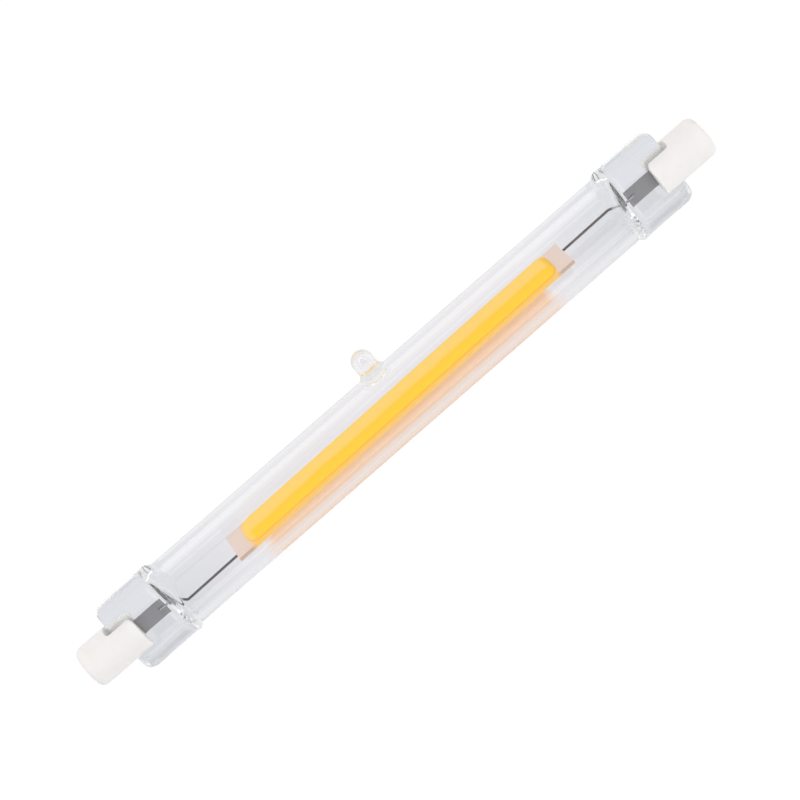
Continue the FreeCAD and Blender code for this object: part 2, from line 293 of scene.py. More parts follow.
def ring_faces(lower, upper):
    """Faces between two closed rows of vertex numbers."""
    after = [*range(1, len(lower)), 0]
    return [(lower[i], lower[j], upper[j], upper[i]) for i, j in enumerate(after)]


def fan(row, apex):
    """Faces from a closed row of vertex numbers to a point."""
    after = [*range(1, len(row)), 0]
    return [(row[i], row[j], apex) for i, j in enumerate(after)]


def eased(value):
    """Nought to one with a level start and end."""
    value = max(0.0, min(1.0, value))
    return value * value * (3 - 2 * value)


def rolled(x, y, z):
    """A point of the lamp before it rolled to rest, turned about the tube's axis."""
    cosine = math.cos(ROLL)
    sine = math.sin(ROLL)
    return Vector((x, y * cosine - z * sine, y * sine + z * cosine))


def steps_between(start, end, size):
    """Even steps from start to end, no longer than size, without the end."""
    count = max(1, math.ceil((end - start) / size))
    return [start + (end - start) * i / count for i in range(count)]


# Helpers for nodes


def feed(tree, node, inputs):
    """Set each named input of a node to a value, or link it."""
    for socket, value in inputs.items():
        if isinstance(value, bpy.types.NodeSocket):
            tree.links.new(value, node.inputs[socket])
        else:
            node.inputs[socket].default_value = value


def add_node(tree, kind, inputs=None, **settings):
    """A node with its settings and its inputs."""
    node = tree.nodes.new(kind)
    for name, value in settings.items():
        setattr(node, name, value)
    feed(tree, node, inputs or {})
    return node


def new_surface(name):
    """A material with its node tree, its principled shader and its output."""
    material = bpy.data.materials.new(name)
    material.use_nodes = True
    tree = material.node_tree
    tree.nodes.clear()
    shader = add_node(tree, "ShaderNodeBsdfPrincipled")
    output = add_node(tree, "ShaderNodeOutputMaterial", {"Surface": shader.outputs["BSDF"]})
    return material, tree, shader, output


def own_place(tree):
    """Each point's place on the object's own coordinates, which are the lamp's."""
    return add_node(tree, "ShaderNodeTexCoord").outputs["Object"]


def axes(tree, vector):
    """The X, Y and Z of a vector."""
    return add_node(tree, "ShaderNodeSeparateXYZ", {"Vector": vector}).outputs


def calc(tree, operation, *values):
    """The result of one operation on numbers or sockets."""
    node = add_node(tree, "ShaderNodeMath", dict(enumerate(values)), operation=operation)
    return node.outputs["Value"]


def reach(tree, vector, direction):
    """How far a vector reaches in a direction."""
    inputs = {0: vector, 1: direction}
    return add_node(tree, "ShaderNodeVectorMath", inputs, operation="DOT_PRODUCT").outputs["Value"]


def apart(tree, value, place=0.0):
    """How far a value is from a place, on either side."""
    return calc(tree, "ABSOLUTE", calc(tree, "SUBTRACT", value, place))


def noise(tree, size, detail=3.0, stretch=(1.0, 1.0, 1.0)):
    """Noise whose blotches are about size wide, in metres."""
    inputs = {"Vector": own_place(tree), "Scale": Vector(stretch)}
    mapping = add_node(tree, "ShaderNodeMapping", inputs)
    inputs = {"Vector": mapping.outputs["Vector"], "Scale": 1 / size, "Detail": detail}
    return add_node(tree, "ShaderNodeTexNoise", inputs).outputs["Fac"]


def ramp(tree, value, low, high, bottom=0.0, top=1.0):
    """The bottom value below low and the top value above high."""
    inputs = {"Value": value, "From Min": low, "From Max": high, "To Min": bottom, "To Max": top}
    return add_node(tree, "ShaderNodeMapRange", inputs).outputs["Result"]


def blend_colours(tree, factor, first, second):
    """From the first colour to the second as factor goes from nought to one."""
    inputs = {0: factor, 6: first, 7: second}
    return add_node(tree, "ShaderNodeMix", inputs, data_type="RGBA").outputs[2]


def bump(tree, height, depth):
    """A bump of that depth in metres."""
    inputs = {"Height": height, "Distance": depth, "Strength": 1.0}
    return add_node(tree, "ShaderNodeBump", inputs).outputs["Normal"]


def glowing(tree, colour, strength=1.0):
    """A surface that shines with a colour."""
    inputs = {"Color": colour, "Strength": strength}
    return add_node(tree, "ShaderNodeEmission", inputs).outputs["Emission"]


def blend_shaders(tree, factor, first, second):
    """From the first shader to the second as factor goes from nought to one."""
    return add_node(tree, "ShaderNodeMixShader", {0: factor, 1: first, 2: second}).outputs["Shader"]


def begin_tree(name, *settings):
    """A geometry tree with a few named numbers for settings, and the sockets that give them."""
    tree = bpy.data.node_groups.new(name, "GeometryNodeTree")
    face = tree.interface
    face.new_socket("Geometry", in_out="INPUT", socket_type="NodeSocketGeometry")
    for setting in settings:
        face.new_socket(setting, in_out="INPUT", socket_type="NodeSocketFloat")
    face.new_socket("Geometry", in_out="OUTPUT", socket_type="NodeSocketGeometry")
    return tree, add_node(tree, "NodeGroupInput").outputs


def end_tree(tree, geometry, material):
    """Make what the tree has grown one smooth mesh of a material, and end the tree with it."""
    for kind, extra in (
        ("GeometryNodeRealizeInstances", {}),
        ("GeometryNodeSetShadeSmooth", {}),
        ("GeometryNodeSetMaterial", {"Material": material}),
    ):
        geometry = add_node(tree, kind, {"Geometry": geometry, **extra}).outputs["Geometry"]
    add_node(tree, "NodeGroupOutput", {"Geometry": geometry})
    return tree


def grown(name, vertices, edges, tree, values):
    """The plain mesh that a node tree makes from a few points and edges."""
    thing = place_in_scene(name + "_path", new_mesh(name + "_path", vertices, edges=edges))
    modifier = thing.modifiers.new("Grow", "NODES")
    modifier.node_group = tree
    for item in tree.interface.items_tree:
        if item.item_type == "SOCKET" and item.in_out == "INPUT" and item.name in values:
            modifier[item.identifier] = values[item.name]
    return evaluated_mesh(thing, name)


# Glass

# How much sooner the shoulder widens than it flattens
FLARE = 1.6
# The hollow closes in a slit, and sits a little off the tube's axis
HOLLOW_END = 43.7 * MM
HOLLOW_OFFSET = 0.08 * MM
SLIT_HALF = 5.2 * MM
SLIT_HEIGHT = 0.1 * MM
# How far from the tip the tube starts to wander, and how much plain tube lies round its foot
WAVE_FADE = 3 * MM
HOLE_MARGIN = 0.7 * MM
# The web's way down to its thickness, and the radii at the plate's end and at the bore's mouth
PRESS_LENGTH = 0.8 * MM
POLISH = 0.35 * MM
BORE_FILLET = 0.5 * MM
# How finely the glass is drawn along the lamp, round each section and up the tip
TUBE_STEP = 1.0 * MM
PLATE_STEP = 0.8 * MM
QUARTER_POINTS = 28
SHOULDER_RINGS = 22
PRESS_RINGS = 6
CORNER_RINGS = 12
HOLE_RINGS = 18
FLAT_RINGS = 5
FILLET_RINGS = 8
SIDE_RINGS = 6
DOME_RINGS = 12
# How many times a ray may turn in the glass before the glass shines with its painted grey glow instead
TRAPPED_DEPTH = 8.5


def quarter_of(pieces):
    """Points at even steps along a chain of arcs and lines, each given by its length and a rule."""
    total = sum(size for size, _ in pieces)
    points = []
    for step in range(QUARTER_POINTS + 1):
        along = total * step / QUARTER_POINTS
        for size, rule in pieces:
            if along <= size or (size, rule) == pieces[-1]:
                points.append(rule(min(along / size, 1.0) if size > 0 else 1.0))
                break
            along -= size
    return points


def arc_rule(centre, radius, start, end):
    """A rule that gives points along an arc, angles in radians."""

    def rule(part):
        angle = start + (end - start) * part
        return (centre[0] + radius * math.cos(angle), centre[1] + radius * math.sin(angle))

    return (abs(radius * (end - start)), rule)


def line_rule(start, end):
    """A rule that gives points along a straight line."""

    def rule(part):
        return (start[0] + (end[0] - start[0]) * part, start[1] + (end[1] - start[1]) * part)

    return (math.dist(start, end), rule)


def oval_quarter(half_width, half_height, roundness=1.0):
    """The quarter of a flattened circle from its side to its top."""
    side = roundness * half_height
    width = half_width - side
    nearly_round = 1e-4 * half_height
    if half_height - side < nearly_round:
        bow = arc_rule((width, 0), half_height, 0, math.pi / 2)
        return quarter_of([bow, line_rule((width, half_height), (0, half_height))])
    broad = (width**2 + half_height**2 - side**2) / (2 * (half_height - side))
    meet = math.atan2(broad - half_height, width)
    bow = arc_rule((width, 0), side, 0, meet)
    crown = arc_rule((0, half_height - broad), broad, meet, math.pi / 2)
    return quarter_of([bow, crown])


def plate_quarter(half_width, bead, web_half):
    """The quarter of the pressed plate's section: a round side bead, then the flat web."""
    width = half_width - bead
    web_half = min(web_half, bead)
    turn = math.pi - math.asin(web_half / bead)
    meet = width + bead * math.cos(turn)
    bow = arc_rule((width, 0), bead, 0, turn)
    return quarter_of([bow, line_rule((meet, web_half), (0, web_half))])


def ring_from(quarter):
    """A closed ring of (y, z) points from its first quarter."""
    top = [(-y, z) for y, z in reversed(quarter[:-1])]
    upper = quarter + top
    lower = [(y, -z) for y, z in reversed(upper[1:-1])]
    return upper + lower


def shoulder_ring(part, radius, half_width, half_height):
    """The section a part of the way from the round tube to the flat end."""
    wide = radius + (half_width - radius) * eased(FLARE * part)
    high = radius - (radius - half_height) * eased(part)
    side_sharpness = 0.29 * math.sin(math.pi * part)
    return ring_from(oval_quarter(wide, high, 1 - side_sharpness))


def waved(radius, x, amount):
    """The drawn tube's radius at x, which wanders in a long wave and a short one."""
    long_wave = 7.3 * MM
    short_wave = 3.1 * MM
    short_part = 0.6
    wander = math.sin(x / long_wave) + short_part * math.sin(x / short_wave + 1.7)
    return radius + amount * wander / (1 + short_part)


def wall_radius(glass, inside):
    """The tube's radius outside or inside."""
    return glass.radius - glass.wall if inside else glass.radius


def hole_half(glass):
    """Half the length of the patch in which the tip stands."""
    return glass.tip_foot + HOLE_MARGIN


def envelope_half(glass, inside):
    """Rings along the right half of the envelope, outside or inside, as (x, ring) pairs."""
    radius = wall_radius(glass, inside)
    half_width = SLIT_HALF if inside else glass.plate_half
    half_height = SLIT_HEIGHT if inside else glass.bead_radius
    end = HOLLOW_END if inside else glass.plate_start
    hole = glass.tip_place + hole_half(glass)
    rings = []
    for x in steps_between(hole, glass.tube_end, TUBE_STEP):
        near = waved(radius, x, glass.waviness * eased((x - hole) / WAVE_FADE))
        rings.append((x, ring_from(oval_quarter(near, near))))
    start = waved(radius, glass.tube_end, glass.waviness)
    for step in range(SHOULDER_RINGS + 1):
        part = step / SHOULDER_RINGS
        x = glass.tube_end + (end - glass.tube_end) * part
        near = start + (radius - start) * part
        rings.append((x, shoulder_ring(part, near, half_width, half_height)))
    return rings if inside else rings + plate_rings(glass)


def plate_rings(glass):
    """Rings of the pressed plate: its web sinks in, runs on level, and ends in polished corners."""
    rings = []

    def add_ring(x, half_width, bead, web):
        rings.append((x, ring_from(plate_quarter(half_width, bead, web))))

    for step in range(1, PRESS_RINGS + 1):
        part = step / PRESS_RINGS
        web = glass.bead_radius - (glass.bead_radius - glass.web_half) * eased(part)
        add_ring(glass.plate_start + PRESS_LENGTH * part, glass.plate_half, glass.bead_radius, web)
    corner_start = glass.plate_end - glass.plate_corner
    for x in steps_between(glass.plate_start + PRESS_LENGTH, corner_start, PLATE_STEP)[1:]:
        add_ring(x, glass.plate_half, glass.bead_radius, glass.web_half)
    for step in range(CORNER_RINGS + 1):
        turn = math.pi / 2 * step / CORNER_RINGS
        x = corner_start + glass.plate_corner * math.sin(turn)
        inset = glass.plate_corner * (1 - math.cos(turn))
        near_end = max(0.0, (x - (glass.plate_end - POLISH)) / POLISH)
        lift = POLISH * (1 - math.sqrt(max(0.0, 1 - near_end**2)))
        half_width = glass.plate_half - inset - lift
        add_ring(x, half_width, glass.bead_radius - lift, glass.web_half - lift)
    return rings


def tip_profile(glass, inside):
    """The foot's radius, each ring's radius, height and share of level, and the tip's height."""
    surface = wall_radius(glass, inside)
    radius = glass.tip_bore if inside else glass.tip_radius
    foot = radius + BORE_FILLET if inside else glass.tip_foot
    end_wall = glass.tip_end_wall if inside else 0.0
    top = glass.radius + glass.tip_height - end_wall
    dome = 2 * radius if inside else radius
    fillet = foot - radius
    profile = []
    for step in range(FILLET_RINGS + 1):
        turn = math.pi / 2 * step / FILLET_RINGS
        lift = fillet * (1 - math.cos(turn))
        profile.append((foot - fillet * math.sin(turn), lift, eased(step / FILLET_RINGS)))
    straight = top - dome - surface - fillet
    for step in range(1, SIDE_RINGS + 1):
        profile.append((radius, fillet + straight * step / SIDE_RINGS, 1.0))
    for step in range(1, DOME_RINGS):
        turn = math.pi / 2 * step / DOME_RINGS
        profile.append((radius * math.cos(turn), top - dome - surface + dome * math.sin(turn), 1.0))
    return foot, profile, top - surface


def add_tip(glass, inside, vertices, faces, rim):
    """Add the patch that runs from the rim of its window up over the exhaust tip."""
    radius = wall_radius(glass, inside)
    direction = Vector((0, math.cos(glass.tip_angle), math.sin(glass.tip_angle)))
    sideways = Vector((0, -math.sin(glass.tip_angle), math.cos(glass.tip_angle)))
    foot, profile, top = tip_profile(glass, inside)
    rows = [rim]

    def on_tube(x, aside, lift, level):
        surface = math.sqrt(max(0.0, radius**2 - aside**2))
        height = surface * (1 - level) + radius * level + lift
        return Vector((glass.tip_place + x, 0, 0)) + sideways * aside + direction * height

    def add_row(points):
        rows.append(range(len(vertices), len(vertices) + len(points)))
        vertices.extend(points)

    places = [(vertices[i].x - glass.tip_place, vertices[i].dot(sideways)) for i in rim]
    turns = [(math.cos(angle), math.sin(angle)) for angle in (math.atan2(a, x) for x, a in places)]
    for step in range(1, FLAT_RINGS):
        part = step / FLAT_RINGS
        points = []
        for (x, aside), (cosine, sine) in zip(places, turns):
            x += (foot * cosine - x) * part
            aside += (foot * sine - aside) * part
            points.append(on_tube(x, aside, 0, 0))
        add_row(points)
    for ring, lift, level in profile:
        add_row([on_tube(ring * cosine, ring * sine, lift, level) for cosine, sine in turns])
    for lower, upper in zip(rows, rows[1:]):
        faces += ring_faces(lower, upper)
    vertices.append(on_tube(0, 0, top, 1.0))
    faces += fan(rows[-1], len(vertices) - 1)


def envelope_surface(glass, inside):
    """Vertices and faces of the whole outside or inside surface, before the roll."""
    columns = 4 * QUARTER_POINTS
    right = envelope_half(glass, inside)
    radius = wall_radius(glass, inside)
    plain = ring_from(oval_quarter(radius, radius))
    half_hole = hole_half(glass)
    left_start = glass.tip_place - half_hole
    rings = [(-x, ring) for x, ring in reversed(right[1:])]
    rings.append((left_start, right[0][1]))
    first_hole = len(rings) - 1
    for step in range(1, HOLE_RINGS):
        rings.append((left_start + 2 * half_hole * step / HOLE_RINGS, plain))
    last_hole = len(rings)
    rings.extend(right)
    vertices = [Vector((x, y, z)) for x, ring in rings for y, z in ring]

    # The tip stands in a window of the grid, some columns wide either side of its direction
    middle = round(glass.tip_angle / (2 * math.pi) * columns)
    spread = math.ceil(math.asin(min(0.99, half_hole / glass.radius)) / (2 * math.pi) * columns)
    low = middle - spread
    high = middle + spread

    def index(row, column):
        return row * columns + column % columns

    faces = []
    last = len(rings) - 1
    for row in range(last):
        numbers = range(row * columns, (row + 1) * columns)
        following = range((row + 1) * columns, (row + 2) * columns)
        for column, face in enumerate(ring_faces(numbers, following)):
            in_window = first_hole <= row < last_hole and (column - low) % columns < high - low
            if not in_window:
                faces.append(face)

    # Strips between the upper and the lower half of its ring close each end
    for column in range(columns // 2):
        upper, lower, below, after = column, -column, -column - 1, column + 1
        for row, corners in ((0, (upper, lower, below, after)), (last, (upper, after, below, lower))):
            faces.append(tuple(dict.fromkeys(index(row, corner) for corner in corners)))

    # The window's rim, all the way round, is the first ring of the patch
    rim = [index(first_hole, column) for column in range(low, high)]
    rim += [index(row, high) for row in range(first_hole, last_hole)]
    rim += [index(last_hole, column) for column in range(high, low, -1)]
    rim += [index(row, low) for row in range(last_hole, first_hole, -1)]
    add_tip(glass, inside, vertices, faces, rim)
    return vertices, faces


def closed_shell(vertices, faces, outward):
    """A mesh with its normals all outwards or all inwards."""
    mesh = new_mesh("shell", [rolled(*vertex) for vertex in vertices], faces)
    mesh.validate()
    with opened(mesh) as work:
        bmesh.ops.recalc_face_normals(work, faces=work.faces)
        if not outward:
            bmesh.ops.reverse_faces(work, faces=work.faces)
    return mesh


def glass_material(colours):
    """Soda-lime tube, drawn and fire polished: clear and glossy, with a painted grey glow where rays
    turn many times in thick glass.
    """
    material, tree, shader, output = new_surface("fire_polished_tube_glass")
    inputs = {"Transmission Weight": 1.0, "Roughness": 0.0, "IOR": 1.5}
    feed(tree, shader, {"Base Color": colours.glass, **inputs})
    path = add_node(tree, "ShaderNodeLightPath").outputs
    # Painted glow: where a ray has gone to and fro in the wall for long, the glass shines with the
    # room's own pale grey instead
    trapped = calc(tree, "GREATER_THAN", path["Ray Depth"], TRAPPED_DEPTH)
    spread = glowing(tree, colours.glass_painted_glow)
    deep = blend_shaders(tree, trapped, shader.outputs["BSDF"], spread)
    # Lamp light and bounced light pass straight through, so that what is inside is lit
    passing = calc(tree, "MAXIMUM", path["Is Shadow Ray"], path["Is Diffuse Ray"])
    clear = add_node(tree, "ShaderNodeBsdfTransparent", {"Color": colours.glass_thin})
    mixed = blend_shaders(tree, passing, deep, clear.outputs["BSDF"])
    feed(tree, output, {"Surface": mixed})
    return material


class LAMP_OT_glass(bpy.types.Operator):
    """Make the glass envelope"""

    bl_idname = "lamp.glass"
    bl_label = "Glass envelope"

    def execute(self, context):
        glass = props("glass")
        outer = closed_shell(*envelope_surface(glass, False), True)
        places, faces = envelope_surface(glass, True)
        moved = [place + Vector((0, HOLLOW_OFFSET, 0)) for place in places]
        inner = closed_shell(moved, faces, False)
        vertices = []
        faces = []
        for shell in (outer, inner):
            start = len(vertices)
            vertices += [vertex.co.copy() for vertex in shell.vertices]
            faces += [tuple(start + i for i in face.vertices) for face in shell.polygons]
        mesh = new_mesh("glass_tube", vertices, faces)
        mesh.validate()
        mesh.shade_smooth()
        material = glass_material(props("colours"))
        finish_piece("glass_tube", mesh, material, ["glass_envelope"])
        return {"FINISHED"}


# Caps and their cement


def cap_material(colours):
    """Steatite, dry pressed and fired: white, satin, with a fine grain that breaks up the gloss."""
    material, tree, shader, _ = new_surface("fired_white_steatite")
    grain = noise(tree, 0.12 * MM, 4.0)
    blotch = ramp(tree, noise(tree, 2.5 * MM, 2.0), 0.2, 1.1)
    inputs = {
        "Base Color": blend_colours(tree, blotch, colours.ceramic, colours.ceramic_warm),
        "Roughness": 0.42,
        "IOR": 1.6,
        "Subsurface Weight": 0.5,
        "Subsurface Radius": (0.9 * MM, 0.8 * MM, 0.75 * MM),
        "Subsurface Scale": 1.0,
        "Normal": bump(tree, grain, 0.006 * MM),
    }
    feed(tree, shader, inputs)
    return material


def cement_material(colours):
    """Water-glass cement, brushed on and baked: off-white, matt and a little lumpy."""
    material, tree, shader, _ = new_surface("baked_cap_cement")
    lumps = noise(tree, 0.3 * MM, 5.0)
    colour = blend_colours(tree, lumps, colours.cement, colours.ceramic_warm)
    normal = bump(tree, lumps, 0.03 * MM)
    feed(tree, shader, {"Base Color": colour, "Roughness": 0.85, "Normal": normal})
    return material


class LAMP_OT_caps(bpy.types.Operator):
    """Make the pressed ceramic caps, with the soft edges that pressing and glazing leave"""

    bl_idname = "lamp.caps"
    bl_label = "Ceramic caps"

    def execute(self, context):
        sizes = props("caps")
        material = cap_material(props("colours"))
        cement = cement_material(props("colours"))
        for side in SIDES:
            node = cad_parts["ceramic_cap_" + side]
            copy = place_in_scene("cap_work", node.data.copy())
            with opened(copy.data) as work:
                bmesh.ops.remove_doubles(work, verts=work.verts, dist=1e-6)
            remesh = copy.modifiers.new("Rebuild", "REMESH")
            remesh.mode = "VOXEL"
            remesh.voxel_size = sizes.grain
            soften = copy.modifiers.new("Soften", "SMOOTH")
            soften.factor = 0.5
            soften.iterations = sizes.rounds
            name = "pressed_cap_" + side
            mesh = evaluated_mesh(copy, name)
            mesh.shade_smooth()
            finish_piece(name, mesh, material, ["ceramic_cap_" + side])
            paint(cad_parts["cap_cement_" + side], cement)
        return {"FINISHED"}


# Phosphor bead and board

# How the board hangs in the tube, and how far its face and its pads' faces are from its middle
SKEW = math.radians(0.8)
SHIFT = 0.4 * MM
DROP = 0.3 * MM
BOARD_FACE = 0.3 * MM
PAD_BACK = 0.35 * MM
# How finely the bead is drawn, along it and as a share of its half width across it
BEAD_STEP = 0.7 * MM
BEAD_ROW_STEP = 0.09
SHOULDER_STEPS = 12


def on_board(x, y, z):
    """A point of a level, centred board, moved to where the board hangs."""
    cosine = math.cos(SKEW)
    sine = math.sin(SKEW)
    across = y * cosine + x * sine
    along = x * cosine - y * sine
    return rolled(along + SHIFT, across - DROP, z)


def bead_outline(x, sizes):
    """Half the bead's width at x, with rounded corners at both ends."""
    corner = sizes.corner_right if x > 0 else sizes.corner_left
    into = abs(x) - (sizes.half_length - corner)
    if into <= 0:
        return sizes.half_width
    return sizes.half_width - corner + math.sqrt(max(0.0, corner**2 - into**2))


def bead_height(x, z, sizes):
    """Height of the bead over the board: it falls in a quarter circle towards its outline."""
    corner = sizes.corner_right if x > 0 else sizes.corner_left
    out_x = abs(x) - (sizes.half_length - corner)
    out_z = abs(z) - (sizes.half_width - corner)
    if out_x > 0 and out_z > 0:
        inside = corner - math.hypot(out_x, out_z)
    else:
        inside = min(sizes.half_length - abs(x), sizes.half_width - abs(z))
    inside = max(0.0, min(sizes.shoulder, inside))
    fall = math.sqrt(max(0.0, 1 - (1 - inside / sizes.shoulder) ** 2))
    # The silicone stands highest along its middle, and set in a long ripple and a short one
    crown = 1 - 0.05 * (z / sizes.half_width) ** 2
    ripple = 0.012 * math.sin(x / (5.3 * MM)) + 0.008 * math.sin(x / (2.1 * MM) + z / (1.6 * MM))
    return sizes.height * fall * (crown + ripple)


def edge_steps(half, shoulder, plain_step):
    """Places from -half to half, closer together where the shoulder falls away."""
    turns = [math.pi / 2 * i / SHOULDER_STEPS for i in range(SHOULDER_STEPS + 1)]
    near = [half - shoulder * (1 - math.sin(turn)) for turn in turns]
    positive = steps_between(0.0, half - shoulder, plain_step) + near
    return [-place for place in reversed(positive[1:])] + positive


def bead_mesh(sizes):
    """The bead: a domed grid over its outline, and the same grid flat on the board."""
    stations = edge_steps(sizes.half_length, sizes.shoulder, BEAD_STEP)
    rows = edge_steps(1.0, sizes.shoulder / sizes.half_width, BEAD_ROW_STEP)
    places = [(x, part * bead_outline(x, sizes)) for x in stations for part in rows]
    heights = [bead_height(x, z, sizes) for x, z in places] + [0.0] * len(places)
    vertices = [
        on_board(x, BOARD_FACE + height, z)
        for (x, z), height in zip(places + places, heights)
    ]
    width = len(rows)
    under = len(places)
    faces = []
    for i in range(len(stations) - 1):
        for j in range(width - 1):
            here = i * width + j
            faces.append((here, here + 1, here + width + 1, here + width))
            below = under + here
            faces.append((below, below + width, below + width + 1, below + 1))
    return closed_mesh(vertices, faces)


def phosphor_material(colours, sizes):
    """Silicone filled with yellow phosphor: soft, painted pale on top where the light falls, and
    painted deep yellow as shade down its near side and at its right end.
    """
    material, tree, shader, _ = new_surface("cured_phosphor_silicone")
    cloud = noise(tree, 2.2 * MM, 3.0, (0.4, 1.0, 1.0))
    dust = noise(tree, 0.09 * MM, 2.0)
    place = own_place(tree)
    # Painted light and shade: pale on the lit top and left end, painted shade in deep yellow down the
    # near side and at the right end, with a cloudy edge
    aside = reach(tree, place, rolled(0.0, 0.0, 1.0))
    wander = calc(tree, "MULTIPLY_ADD", cloud, 0.9 * MM, aside)
    shaded_near_side = ramp(tree, wander, 1.4 * MM, 2.1 * MM)
    along = axes(tree, place)["X"]
    left = SHIFT - sizes.half_length
    past_left = ramp(tree, along, left + 0.7 * MM, left + 1.3 * MM)
    right = SHIFT + sizes.half_length
    shaded_right_end = ramp(tree, along, right - 0.9 * MM, right - 0.5 * MM)
    deep = calc(tree, "MAXIMUM", calc(tree, "MULTIPLY", shaded_near_side, past_left), shaded_right_end)
    colour = blend_colours(tree, deep, colours.phosphor, colours.phosphor_painted_shade)
    # Painted glow: the emission stands in for the phosphor turning the blue in the room's light to
    # yellow, so it gives back more than it gets
    inputs = {
        "Base Color": colour,
        "Roughness": 0.55,
        "IOR": 1.41,
        "Specular IOR Level": 0.04,
        "Emission Color": colour,
        "Emission Strength": 0.14,
        "Normal": bump(tree, dust, 0.004 * MM),
    }
    feed(tree, shader, inputs)
    return material


def board_material(colours, sizes):
    """Alumina, fired and laser cut: pale pink and matt, with a painted peach glow where the bead shines
    through.
    """
    material, tree, shader, _ = new_surface("fired_pink_alumina")
    grain = noise(tree, 0.15 * MM, 4.0)
    plain = blend_colours(tree, ramp(tree, grain, 0.3, 0.8), colours.board, colours.board_dark)
    facing = add_node(tree, "ShaderNodeNewGeometry").outputs["True Normal"]
    sideways = apart(tree, reach(tree, facing, rolled(0.0, 0.0, 1.0)))
    body = blend_colours(tree, ramp(tree, sideways, 0.4, 0.6), plain, colours.board_cut)
    # Painted glow: the bead's light is painted into the board, as colour and emission, as far as the
    # bead goes, but not on the back
    away = apart(tree, axes(tree, own_place(tree))["X"], SHIFT)
    below = ramp(tree, away, sizes.half_length + 0.3 * MM, sizes.half_length - 0.7 * MM)
    outward = reach(tree, facing, rolled(0.0, 1.0, 0.0))
    lit = calc(tree, "MULTIPLY", below, ramp(tree, outward, -0.6, -0.4))
    light_strength = 0.2
    inputs = {
        "Base Color": blend_colours(tree, lit, body, colours.board_painted_glow),
        "Roughness": 0.7,
        "IOR": 1.6,
        "Emission Color": colours.board_painted_light,
        "Emission Strength": calc(tree, "MULTIPLY", lit, light_strength),
        "Normal": bump(tree, grain, 0.004 * MM),
    }
    feed(tree, shader, inputs)
    return material


def chip_material(colours):
    """Sapphire chip with a metal grid: dark blue and polished."""
    material, tree, shader, _ = new_surface("polished_sapphire_chip")
    colour = blend_colours(tree, noise(tree, 0.2 * MM, 1.0), colours.die, colours.die_grid)
    feed(tree, shader, {"Base Color": colour, "Roughness": 0.12, "IOR": 1.77})
    return material


class LAMP_OT_bead(bpy.types.Operator):
    """Make the phosphor bead and finish the board under it"""

    bl_idname = "lamp.bead"
    bl_label = "Phosphor bead and board"

    def execute(self, context):
        sizes = props("bead")
        colours = props("colours")
        silicone = phosphor_material(colours, sizes)
        mesh = bead_mesh(sizes)
        finish_piece("phosphor_bead", mesh, silicone, ["phosphor_strip"])
        paint(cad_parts["ceramic_board"], board_material(colours, sizes))
        chip = chip_material(colours)
        for name in ("led_dies", "bridge_rectifier", "current_regulators"):
            paint(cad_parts[name], chip)
        return {"FINISHED"}


# Leads, foils, solder and contacts

# Places along the leads, from the lamp's middle, and the joint on the pad from the board's
FOIL_INNER = 44.2 * MM
KINK_START = 43.4 * MM
CLEAN_FROM = 41.8 * MM
KINK_END = 41.4 * MM
JOINT = 30.3 * MM
# How far a lead lies on the foil, and how far the foil's face is below the tube's axis
ON_FOIL = 1.3 * MM
FOIL_TOP = 0.3 * MM
# Solder between a lead and its pad, and each lead's height on the board
SOLDER_FILM = 0.06 * MM
LEAD_HEIGHTS = {"left": 1.0 * MM, "right": -1.7 * MM}
BEND_POINTS = 10
WIRE_SIDES = 24
SOLDER_SIDES = 40
SOLDER_RINGS = 10
# Where the spot welds lie, as shares of the lead's length on the foil
WELD_PLACES = (0.45, 0.85)
WELD_FLATTENING = (1.5, 1.0, 0.55)
WELD_LIFT = 0.05 * MM


def metal(name, tints, roughness, grain, stretch=(1.0, 1.0, 1.0), depth=0.002 * MM, clean=None):
    """A metal whose colour and shine vary with a grain, and that may be clean beyond a place."""
    material, tree, shader, _ = new_surface(name)
    streak = noise(tree, grain, 4.0, stretch)
    colour = blend_colours(tree, streak, *tints)
    if clean:
        bright, seal = clean
        away = apart(tree, axes(tree, own_place(tree))["X"])
        colour = blend_colours(tree, ramp(tree, away, seal, seal + 0.3 * MM), colour, bright)
    inputs = {
        "Base Color": colour,
        "Metallic": 1.0,
        "Roughness": ramp(tree, streak, 0.0, 1.0, roughness * 0.75, roughness * 1.25),
        "Normal": bump(tree, streak, depth),
    }
    feed(tree, shader, inputs)
    return material


def wire_material(colours):
    """Molybdenum wire: dark with flame oxide in the open, and bright near the seal."""
    tints = (colours.wire, colours.wire_dark)
    clean = (colours.wire_clean, CLEAN_FROM)
    return metal("drawn_oxidised_wire", tints, 0.5, 0.25 * MM, (0.15, 1.0, 1.0), clean=clean)


def foil_material(colours):
    """Molybdenum foil, rolled and etched: mid grey, with faint roll lines along it."""
    tints = (colours.foil, colours.foil_light)
    return metal("rolled_seal_foil", tints, 0.55, 0.35 * MM, (0.12, 1.0, 1.0), 0.004 * MM)


def solder_material(colours):
    """Tin solder, reflowed: light grey and shiny."""
    return metal("reflowed_tin_solder", (colours.solder, colours.solder_dark), 0.28, 0.4 * MM)


def pad_material(colours):
    """Silver film, printed and fired: warm pale grey and half matt."""
    return metal("fired_silver_film", (colours.pad, colours.pad_dark), 0.5, 0.1 * MM)


def contact_material(colours):
    """Brass with nickel plating: warm pale grey and smooth."""
    return metal("nickel_plated_brass", (colours.contact, colours.contact_dark), 0.25, 0.3 * MM)


